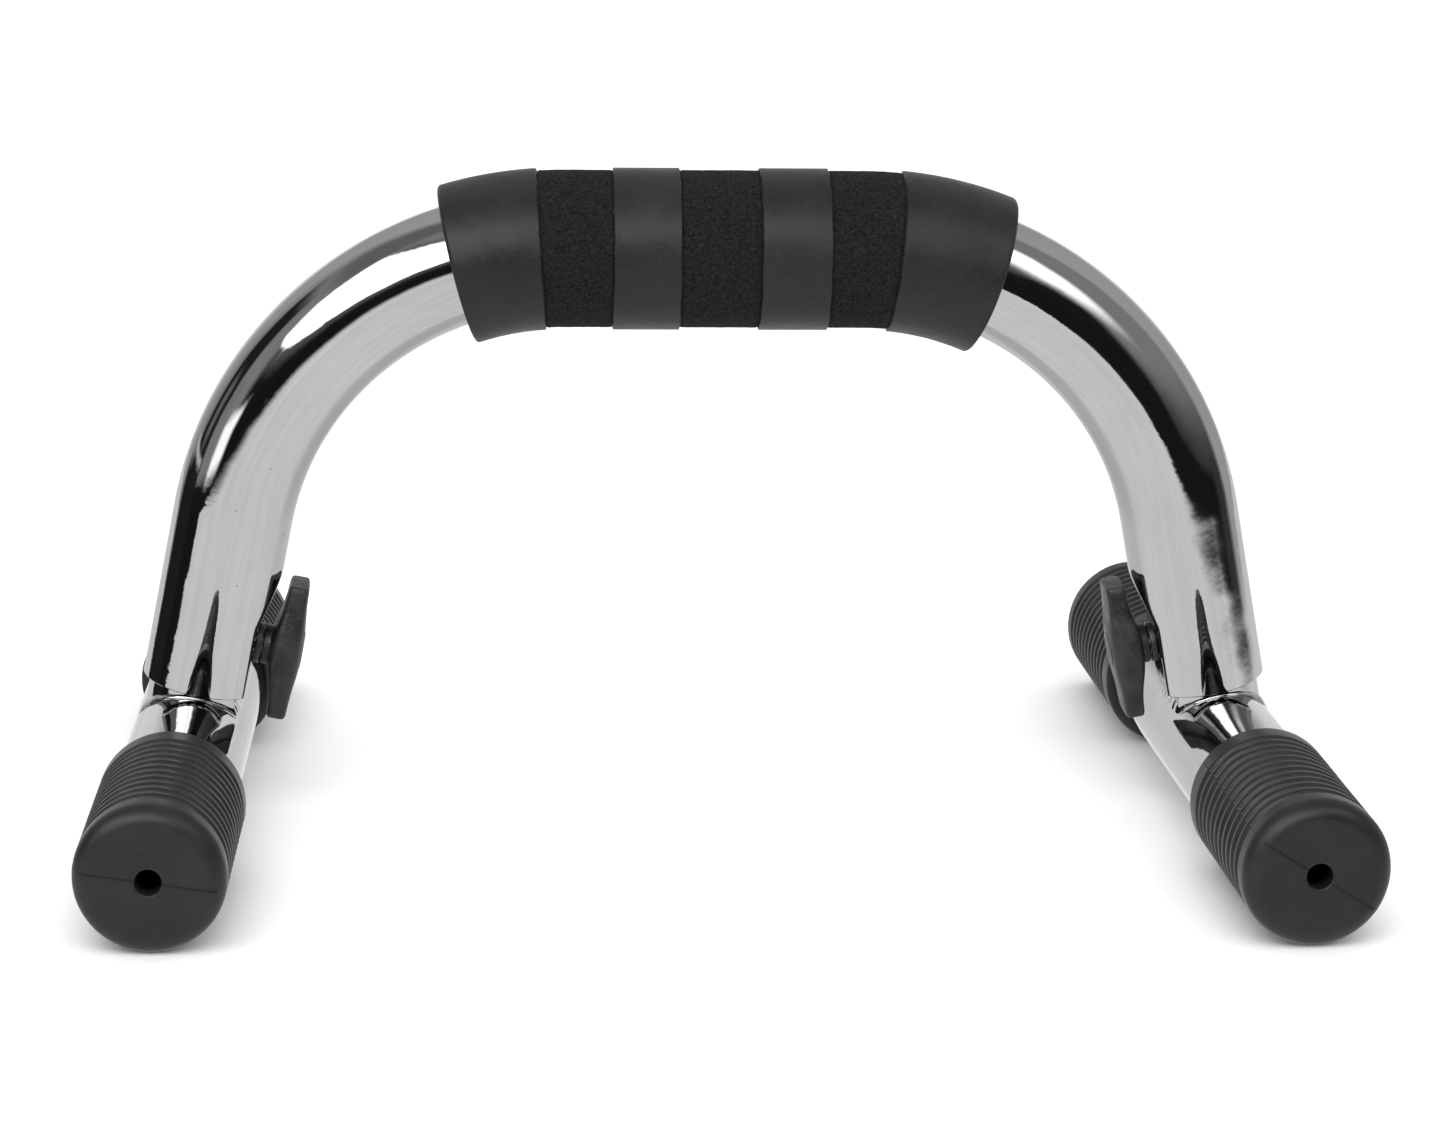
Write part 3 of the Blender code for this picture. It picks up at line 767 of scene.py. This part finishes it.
def make_screw(side, word):
    build = Build()
    count = 40
    rings = []
    x = 0.25
    while x < 16.2:
        def thread(a, x=x):
            u = (x / 1.0 - a / (2 * math.pi)) % 1.0
            flank = abs(2 * u - 1)
            taper = smooth(x, 0.2, 1.2)
            return 2.36 + 0.5 * min(1.0, max(0.0, 1.25 * flank - 0.05)) * taper
        rings.append(round_row(build, x, 0, count, thread))
        x += 0.125
    build.skin(rings)
    build.cap(rings[0])
    build.cap(rings[-1])
    head = []
    corner = 4.0 / math.cos(math.pi / 6)

    def hexagon(shrink):
        def wave(a):
            return 4.0 * shrink / math.cos((a + math.pi / 6) % (math.pi / 3) - math.pi / 6)
        return wave

    for x, shrink in ((16.0, 0.95), (16.15, 1.0), (18.1, 1.0), (18.3, 0.94)):
        head.append(round_row(build, x, 0, 48, hexagon(shrink)))
    build.skin(head)
    build.cap(head[0])
    build.cap(head[-1])
    return piece("threaded_screw_" + word, build, screw_matrix(side), "knob_" + word, [zinc], ["screw_" + word])


def make_washer(side, word):
    build = Build()
    rows = []
    for x, r in ((9.8, 3.35), (9.8, 4.2), (9.86, 4.34), (10.0, 4.4), (10.8, 4.4), (10.94, 4.34), (11.0, 4.2), (11.0, 3.35), (10.9, 3.25), (9.9, 3.25)):
        rows.append(round_row(build, x, r, 72))
    build.skin(rows, closed=True)
    return piece("nylon_washer_" + word, build, screw_matrix(side), "washer_" + word, [nylon], ["knob_washer_" + word])


def make_nut(side, word):
    build = Build()

    def hexagon(size):
        def wave(a):
            return size / math.cos((a + math.pi / 6) % (math.pi / 3) - math.pi / 6)
        return wave

    rows = [round_row(build, x, 0, 96, hexagon(s)) for x, s in ((0.9, 4.7), (1.15, 5.0), (5.65, 5.0), (5.9, 4.8))]
    rows.append(round_row(build, 5.9, 3.6, 96))
    for x in np.arange(5.6, 1.2, -0.125):
        def thread(a, x=x):
            return 3.1 + 0.28 * abs(2 * ((x - a / (2 * math.pi)) % 1.0) - 1)
        rows.append(round_row(build, x, 0, 96, thread))
    rows.append(round_row(build, 0.9, 3.6, 96))
    build.skin(rows, closed=True)
    return piece("weld_nut_hex_" + word, build, screw_matrix(side), "base_" + word, [zinc], ["weld_nut_" + word])


make_handle()
make_grip()
PARTING = {(-1, "front"): -8.0, (-1, "rear"): 20.0, (1, "front"): 148.0, (1, "rear"): -30.0}
for side, word in ((-1, "left"), (1, "right")):
    make_base_tube(side, word)
    for end, way in (("front", -1), ("rear", 1)):
        make_foot(side, word, end, way, PARTING[side, end])
    make_post(side, word)
    make_knob(side, word)
    make_screw(side, word)
    make_washer(side, word)
    make_nut(side, word)


# Floor, light and camera


def make_floor():
    mesh = bpy.data.meshes.new("floor")
    across, front, back = 2.0, -2.0, 3.0
    bm = bmesh.new()
    corners = [bm.verts.new(p) for p in ((-across, front, 0), (across, front, 0), (across, back, 0), (-across, back, 0))]
    bm.faces.new(corners)
    bmesh.ops.subdivide_edges(bm, edges=bm.edges, cuts=6, use_grid_fill=True)
    bm.to_mesh(mesh)
    bm.free()
    mat, s, surface, where = material("pale_floor", Roughness=0.9, Specular_IOR_Level=0.0)
    s.set(surface.inputs["Base Color"], s.grey(s.step(s.noise(where, 9.0, 2.0), 0.3, 0.7, 0.905, 0.915)))
    mesh.materials.append(mat)
    obj = bpy.data.objects.new("floor", mesh)
    bpy.context.scene.collection.objects.link(obj)
    obj.visible_glossy = False  # the world holds what polished surfaces see of the table


def make_world():
    """White to the camera, an even light on matt surfaces, and to the polished ones a studio: a pale table, a wide soft
    box above the front, dark below it, grey walls at the sides and a white backdrop."""
    world = bpy.data.worlds.new("studio")
    bpy.context.scene.world = world
    world.use_nodes = True
    tree = world.node_tree
    s = Shader(tree)
    background = tree.nodes["Background"]
    direction = s.add("ShaderNodeTexCoord").outputs["Generated"]
    parts = s.add("ShaderNodeSeparateXYZ", None, Vector=direction)
    x, y, z = parts.outputs
    turn = s.math("MULTIPLY", s.math("ARCTAN2", x, s.math("MULTIPLY", y, -1.0)), 180 / math.pi)  # 0 to the front, 90 to the right
    rise = s.math("MULTIPLY", s.math("ARCSINE", z), 180 / math.pi)
    around = s.math("ABSOLUTE", turn)

    def blend(a, b, t):
        return s.math("ADD", s.math("MULTIPLY", a, s.math("SUBTRACT", 1.0, t)), s.math("MULTIPLY", b, t))

    def band(value, a, b, soft):
        return s.math("MULTIPLY", s.step(value, a - soft, a + soft), s.step(value, b + soft, b - soft))

    haze = s.noise(direction, 7.0, 3.0, 0.6)
    wall = s.step(haze, 0.3, 0.7, 0.30, 0.36)
    wall = blend(wall, 0.20, s.math("MULTIPLY", s.step(turn, -60.0, -76.0), s.step(rise, 40.0, 50.0)))
    wall = blend(wall, 0.56, s.step(turn, 100.0, 110.0))
    wall = blend(wall, 0.56, s.step(turn, -114.0, -140.0))
    wall = blend(wall, 1.15, s.math("MULTIPLY", s.step(around, 138.0, 162.0), s.step(rise, 18.0, 6.0)))
    # The dark room in front, and the lower part of it at the right
    off = s.math("ADD", turn, 20.0)
    edge = s.math("ADD", 18.0, s.math("MULTIPLY", s.math("MULTIPLY", off, off), 0.0047))
    below = s.math("SUBTRACT", rise, edge)
    front = band(turn, -62.0, 48.0, 6.0)
    dim = s.step(below, -8.0, -1.0, 0.014, 0.13)
    wall = blend(wall, dim, s.math("MULTIPLY", front, s.step(rise, 62.0, 52.0)))
    wall = blend(s.step(rise, 1.0, 22.0, 0.055, 0.33), wall, s.math("SUBTRACT", 1.0, band(turn, 42.0, 101.0, 6.0)))
    wall = blend(wall, 0.012, s.math("MULTIPLY", band(turn, -62.0, 40.0, 5.0), s.step(rise, 12.0, 3.0)))
    wall = blend(wall, 0.014, s.math("MULTIPLY", band(turn, -126.0, 82.0, 6.0), s.step(rise, 3.2, 0.2)))
    # A dark stand at the left, and a bright line and a small lamp beside it
    stand = s.math("MULTIPLY", band(turn, -117.0, -90.0, 3.0), s.step(rise, 44.0, 34.0))
    wall = blend(wall, 0.022, stand)
    wall = blend(wall, 0.20, s.math("MULTIPLY", band(turn, -108.0, -99.0, 3.0), band(rise, 7.0, 20.0, 3.0)))
    line = s.math("MULTIPLY", band(turn, -124.0, -93.0, 3.0), band(rise, 3.6, 5.2, 0.6))
    wall = blend(wall, 0.7, line)
    lamp = s.math("MULTIPLY", band(turn, -70.0, -53.0, 3.5), band(rise, 1.5, 12.0, 2.5))
    wall = blend(wall, 1.9, lamp)
    # The soft box, and a second one at the right with a softer edge
    box = s.math("MULTIPLY", s.step(below, -1.0, 2.0), s.step(rise, 55.0, 49.0))
    box = s.math("MULTIPLY", box, s.math("MULTIPLY", s.step(turn, -72.0, -63.0), s.step(turn, 20.0, 8.0)))
    wall = blend(wall, s.step(haze, 0.35, 0.65, 3.4, 6.0), box)
    second = s.math("MULTIPLY", band(turn, 34.0, 60.0, 9.0), s.math("MULTIPLY", s.step(rise, 20.0, 41.0), s.step(rise, 60.0, 50.0)))
    wall = s.math("ADD", wall, s.math("MULTIPLY", second, 3.4))
    # The table
    left = blend(-3.4, -9.6, s.step(turn, -56.0, -82.0))
    right = s.math("MAXIMUM", -13.2, s.math("MINIMUM", -7.6, s.math("ADD", -14.6, s.math("MULTIPLY", turn, 0.115))))
    reach = blend(left, right, s.step(turn, -4.0, 12.0))
    reach = blend(reach, -4.5, s.step(around, 120.0, 140.0))
    table = s.step(haze, 0.3, 0.7, 0.98, 1.06)
    table = blend(table, 0.74, s.math("MULTIPLY", s.step(around, 92.0, 122.0), s.math("MULTIPLY", s.step(around, 168.0, 150.0), s.step(rise, -16.0, -34.0))))
    spread = s.step(turn, -60.0, -48.0, 0.6, 3.4)
    spread = blend(spread, 1.2, s.step(turn, -8.0, 6.0))
    fade = s.math("DIVIDE", s.math("SUBTRACT", reach, rise), spread)
    studio = blend(wall, table, s.step(fade, -1.0, 1.0))

    ambient = s.step(z, -0.2, 1.0, 0.85, 1.45)
    paths = s.add("ShaderNodeLightPath")
    glossy, camera = paths.outputs["Is Glossy Ray"], paths.outputs["Is Camera Ray"]
    value = blend(ambient, studio, glossy)
    value = blend(value, 1.0, camera)
    s.set(background.inputs["Color"], s.grey(value))
    background.inputs["Strength"].default_value = 1.0


def make_light(name, place, target, size, power):
    data = bpy.data.lights.new(name, "AREA")
    data.shape, data.size, data.size_y, data.energy = "RECTANGLE", size[0], size[1], power
    obj = bpy.data.objects.new(name, data)
    bpy.context.scene.collection.objects.link(obj)
    obj.location = place
    obj.rotation_euler = (Vector(target) - Vector(place)).to_track_quat("-Z", "Y").to_euler()
    obj.visible_glossy = False


def make_camera():
    yaw, pitch, roll = math.radians(3.134), math.radians(15.691), math.radians(0.801)
    ahead = Vector((math.sin(yaw) * math.cos(pitch), math.cos(yaw) * math.cos(pitch), -math.sin(pitch)))
    right = ahead.cross(Vector((0, 0, 1))).normalized()
    up = right.cross(ahead)
    right, up = right * math.cos(roll) + up * math.sin(roll), up * math.cos(roll) - right * math.sin(roll)
    data = bpy.data.cameras.new("camera")
    data.sensor_fit, data.sensor_width, data.lens = "HORIZONTAL", 36.0, 97.326
    data.clip_start, data.clip_end = 0.01, 50.0
    obj = bpy.data.objects.new("camera", data)
    bpy.context.scene.collection.objects.link(obj)
    turned = Matrix((right, up, -ahead)).transposed().to_4x4()
    obj.matrix_world = Matrix.Translation((-0.043318, -0.808791, 0.281507)) @ turned
    bpy.context.scene.camera = obj


make_floor()
make_world()
make_light("key_light", (-0.25, -0.9, 1.5), (0.0, 0.0, 0.05), (1.4, 1.0), 9.0)
make_camera()
bpy.context.scene.view_settings.view_transform = "Standard"
